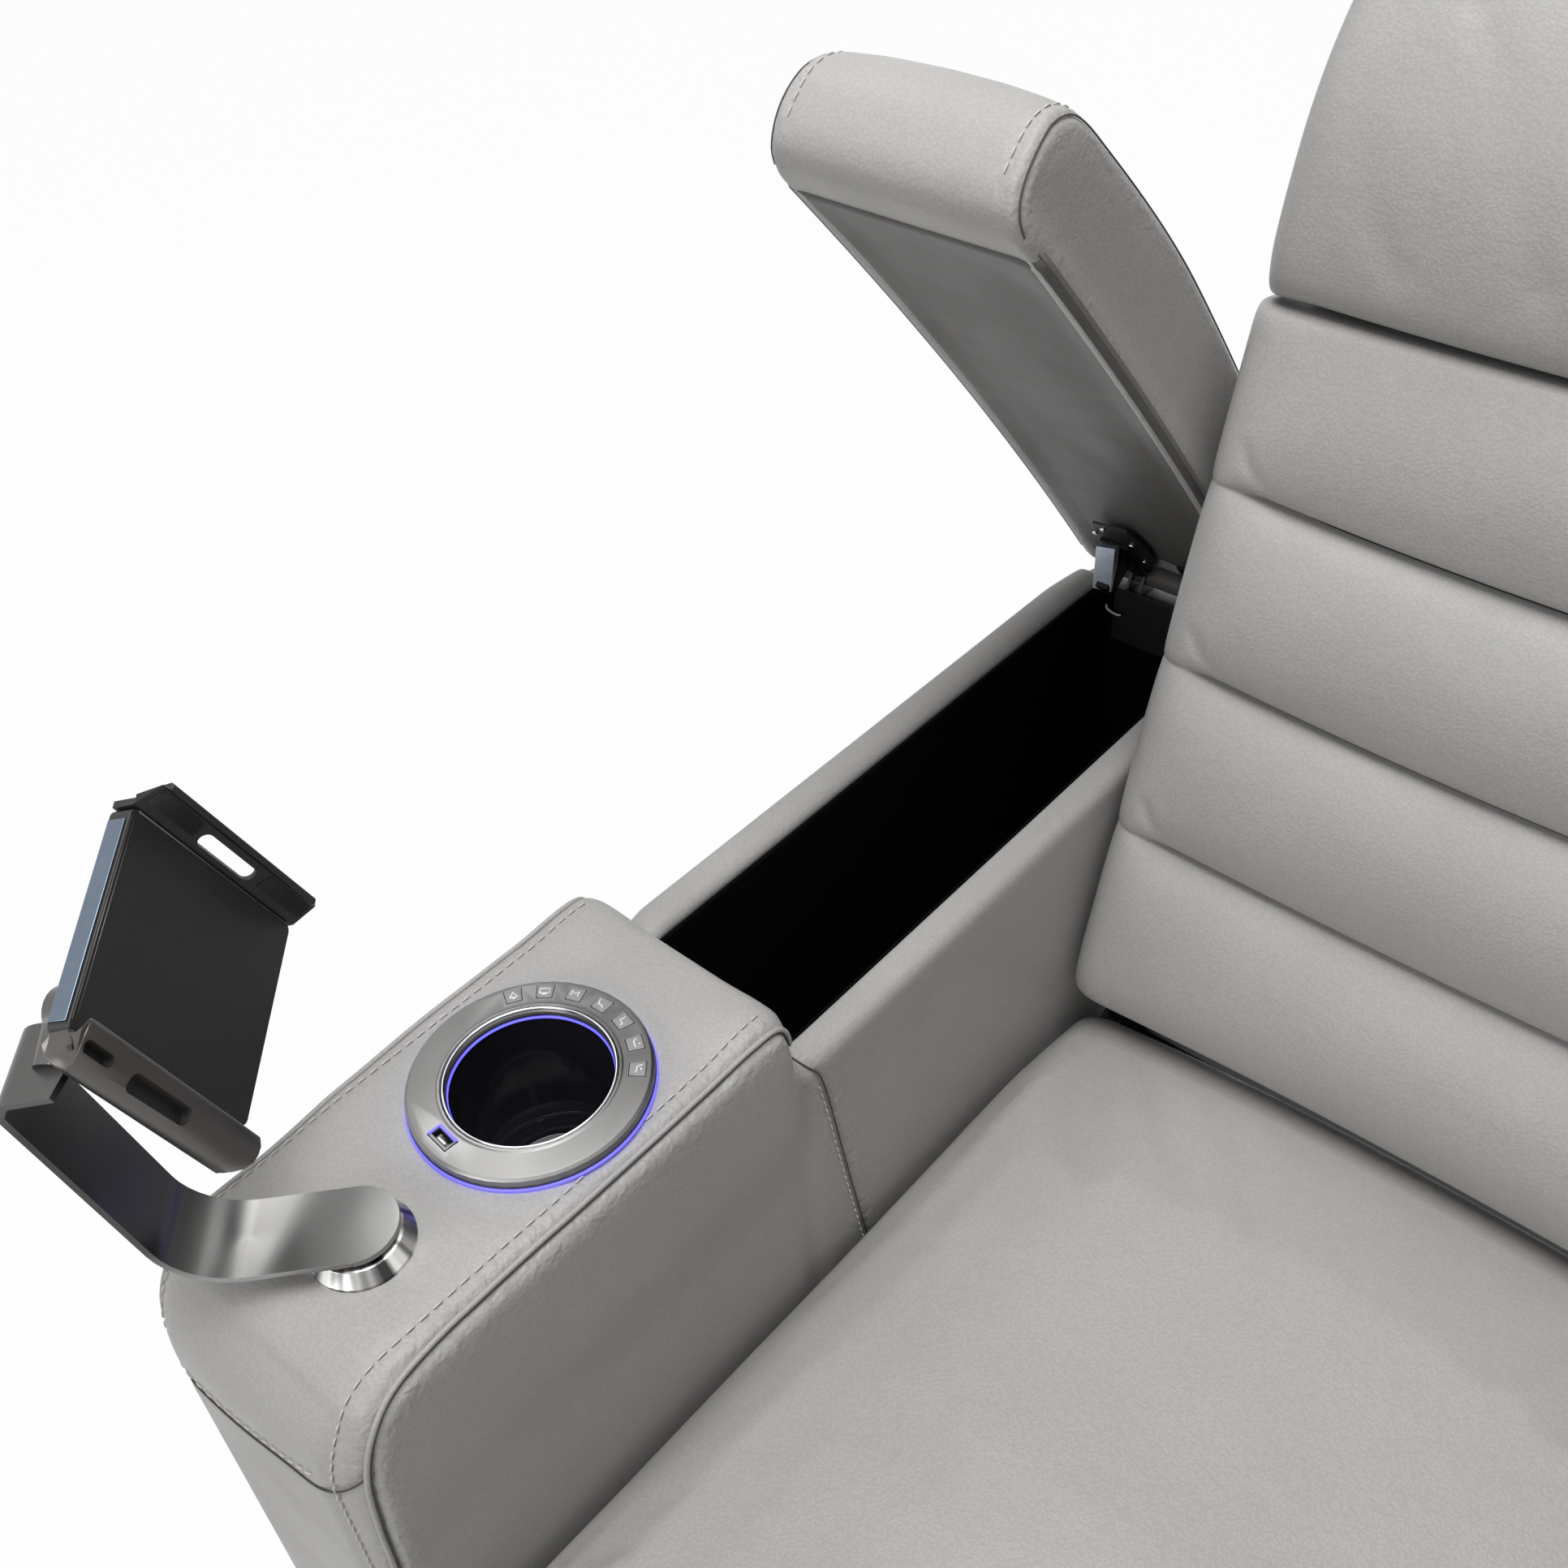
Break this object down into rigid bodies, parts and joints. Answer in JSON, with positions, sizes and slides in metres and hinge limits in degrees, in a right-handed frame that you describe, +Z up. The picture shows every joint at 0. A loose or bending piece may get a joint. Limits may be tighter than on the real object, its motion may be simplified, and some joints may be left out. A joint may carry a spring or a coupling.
{
  "type": "power recliner",
  "caption": "Power recliner with channelled back, flip-up storage arms, lighted cup holders, keys, phone holder and scissor footrest.",
  "frame": {"origin": "middle of the chair's box, on the floor", "axes": "+Z up, the sitter faces -Y, the sitter's right arm is towards -X"},
  "size_m": [0.905, 0.9478, 1.0976],
  "materials": {
    "leather": "fine pebbled",
    "felt_lining": "felt",
    "fabric_panel": "smooth",
    "webbing": "woven",
    "satin_nickel": "satin",
    "dark_steel": "brushed",
    "black_steel": "satin",
    "chrome": "polished",
    "gloss_black": "gloss",
    "black_plastic": "matte",
    "key_grey": "satin",
    "light_ring": "translucent",
    "rubber": "matte",
    "plywood": "raw"
  },
  "bodies": {
    "chair_base": {"base_frame": "black_steel", "foot_front_right": "black_plastic", "foot_front_left": "black_plastic", "foot_rear_right": "black_plastic", "foot_rear_left": "black_plastic", "right_side_plate": "black_steel", "left_side_plate": "black_steel", "seat_box": "plywood", "seat_webbing": "webbing", "seat_cushion": "leather", "recline_motor": "black_plastic", "footrest_motor": "black_plastic", "right_arm_console": "leather", "right_arm_storage_box": "leather", "right_storage_liner": "felt_lining", "right_lid_bracket": "black_steel", "right_cup_ring": "satin_nickel", "right_cup": "gloss_black", "right_cup_light_ring": "light_ring", "usb_socket": "black_plastic", "holder_disc": "satin_nickel", "left_arm_console": "leather", "left_arm_storage_box": "leather", "left_storage_liner": "felt_lining", "left_lid_bracket": "black_steel", "left_cup_ring": "satin_nickel", "left_cup": "gloss_black", "left_cup_light_ring": "light_ring"},
    "right_lid": {"right_arm_lid": "leather", "right_lid_underboard": "fabric_panel", "right_lid_hinge": "chrome"},
    "left_lid": {"left_arm_lid": "leather", "left_lid_underboard": "fabric_panel", "left_lid_hinge": "chrome"},
    "key_1": {"key_1": "key_grey"},
    "key_2": {"key_2": "key_grey"},
    "key_3": {"key_3": "key_grey"},
    "key_4": {"key_4": "key_grey"},
    "key_5": {"key_5": "key_grey"},
    "key_6": {"key_6": "key_grey"},
    "key_7": {"key_7": "key_grey"},
    "holder_strap": {"holder_strap": "dark_steel"},
    "cradle": {"cradle_plate": "black_plastic"},
    "upper_jaw": {"cradle_upper_jaw": "black_plastic", "jaw_grip_1": "rubber", "jaw_grip_2": "rubber"},
    "back": {"back_frame": "black_steel", "back_cushion": "leather", "back_cover": "leather"},
    "headrest": {"headrest_cushion": "leather", "headrest_plate": "black_steel"},
    "recline_rod": {"recline_rod": "chrome"},
    "footrest_drive": {"footrest_drive_links": "black_steel"},
    "footrest_scissor": {"footrest_scissor_links": "black_steel"},
    "footrest_panel": {"footrest_pad": "leather", "footrest_board": "plywood"},
    "footrest_stay": {"right_stay_link": "black_steel", "left_stay_link": "black_steel"},
    "footrest_swing": {"right_swing_link": "black_steel", "left_swing_link": "black_steel"}
  },
  "joints": [
    {"name": "right_lid_hinge", "type": "hinge", "parent": "chair_base", "child": "right_lid", "pos_m": [-0.35051, 0.41681, 0.59], "axis": [-1, 0, 0], "range_deg": [-50.2, 14.8]},
    {"name": "left_lid_hinge", "type": "hinge", "parent": "chair_base", "child": "left_lid", "pos_m": [0.37149, 0.41681, 0.59], "axis": [-1, 0, 0], "range_deg": [0, 65]},
    {"name": "key_1_press", "type": "slide", "parent": "chair_base", "child": "key_1", "axis": [0, 0, -1], "range_m": [0, 0.0008], "stiffness_N_per_m": 1200, "springref_m": -0.0005},
    {"name": "key_2_press", "type": "slide", "parent": "chair_base", "child": "key_2", "axis": [0, 0, -1], "range_m": [0, 0.0008], "stiffness_N_per_m": 1200, "springref_m": -0.0005},
    {"name": "key_3_press", "type": "slide", "parent": "chair_base", "child": "key_3", "axis": [0, 0, -1], "range_m": [0, 0.0008], "stiffness_N_per_m": 1200, "springref_m": -0.0005},
    {"name": "key_4_press", "type": "slide", "parent": "chair_base", "child": "key_4", "axis": [0, 0, -1], "range_m": [0, 0.0008], "stiffness_N_per_m": 1200, "springref_m": -0.0005},
    {"name": "key_5_press", "type": "slide", "parent": "chair_base", "child": "key_5", "axis": [0, 0, -1], "range_m": [0, 0.0008], "stiffness_N_per_m": 1200, "springref_m": -0.0005},
    {"name": "key_6_press", "type": "slide", "parent": "chair_base", "child": "key_6", "axis": [0, 0, -1], "range_m": [0, 0.0008], "stiffness_N_per_m": 1200, "springref_m": -0.0005},
    {"name": "key_7_press", "type": "slide", "parent": "chair_base", "child": "key_7", "axis": [0, 0, -1], "range_m": [0, 0.0008], "stiffness_N_per_m": 1200, "springref_m": -0.0005},
    {"name": "holder_swivel", "type": "hinge", "parent": "chair_base", "child": "holder_strap", "pos_m": [-0.33551, -0.36619, 0.6493], "axis": [0, 0, 1], "range_deg": [-120, 120]},
    {"name": "cradle_turn", "type": "hinge", "parent": "holder_strap", "child": "cradle", "pos_m": [-0.39749, -0.41204, 0.80378], "axis": [0.7978, 0.5628, 0.2164], "range_deg": [-90, 90]},
    {"name": "jaw_slide", "type": "slide", "parent": "cradle", "child": "upper_jaw", "axis": [-0.6029, 0.7399, 0.2984], "range_m": [0, 0.025], "stiffness_N_per_m": 120, "springref_m": -0.02},
    {"name": "back_recline", "type": "hinge", "parent": "chair_base", "child": "back", "pos_m": [0.01049, 0.20381, 0.345], "axis": [-1, 0, 0], "range_deg": [0, 42]},
    {"name": "headrest_tilt", "type": "hinge", "parent": "back", "child": "headrest", "pos_m": [0.01049, 0.31615, 0.90421], "axis": [1, 0, 0], "range_deg": [0, 30]},
    {"name": "recline_push", "type": "slide", "parent": "chair_base", "child": "recline_rod", "axis": [0, -0.9659, 0.2588], "range_m": [0, 0.07546]},
    {"name": "footrest_drive_turn", "type": "hinge", "parent": "chair_base", "child": "footrest_drive", "pos_m": [0.01049, -0.35119, 0.268], "axis": [-1, 0, 0], "range_deg": [0, 141.2]},
    {"name": "footrest_scissor_turn", "type": "hinge", "parent": "footrest_drive", "child": "footrest_scissor", "pos_m": [0.01049, -0.19182, 0.15564], "axis": [-1, 0, 0], "range_deg": [-117, 0]},
    {"name": "footrest_panel_turn", "type": "hinge", "parent": "footrest_scissor", "child": "footrest_panel", "pos_m": [0.01049, -0.38619, 0.14], "axis": [-1, 0, 0], "range_deg": [0, 66]},
    {"name": "footrest_stay_turn", "type": "hinge", "parent": "footrest_panel", "child": "footrest_stay", "pos_m": [0.01049, -0.38619, 0.0877], "axis": [-1, 0, 0], "range_deg": [-60, 0]},
    {"name": "footrest_swing_turn", "type": "hinge", "parent": "chair_base", "child": "footrest_swing", "pos_m": [0.01049, -0.31119, 0.2617], "axis": [-1, 0, 0], "range_deg": [0, 142]}
  ],
  "couplings": [
    {"joint": "recline_push", "follows": "back_recline", "m_per_rad": 0.10267},
    {"joint": "footrest_scissor_turn", "follows": "footrest_drive_turn", "ratio": -0.82669},
    {"joint": "footrest_panel_turn", "follows": "footrest_drive_turn", "ratio": 0.46407},
    {"joint": "footrest_stay_turn", "follows": "footrest_drive_turn", "ratio": -0.41187},
    {"joint": "footrest_swing_turn", "follows": "footrest_drive_turn", "ratio": 1.0035}
  ]
}
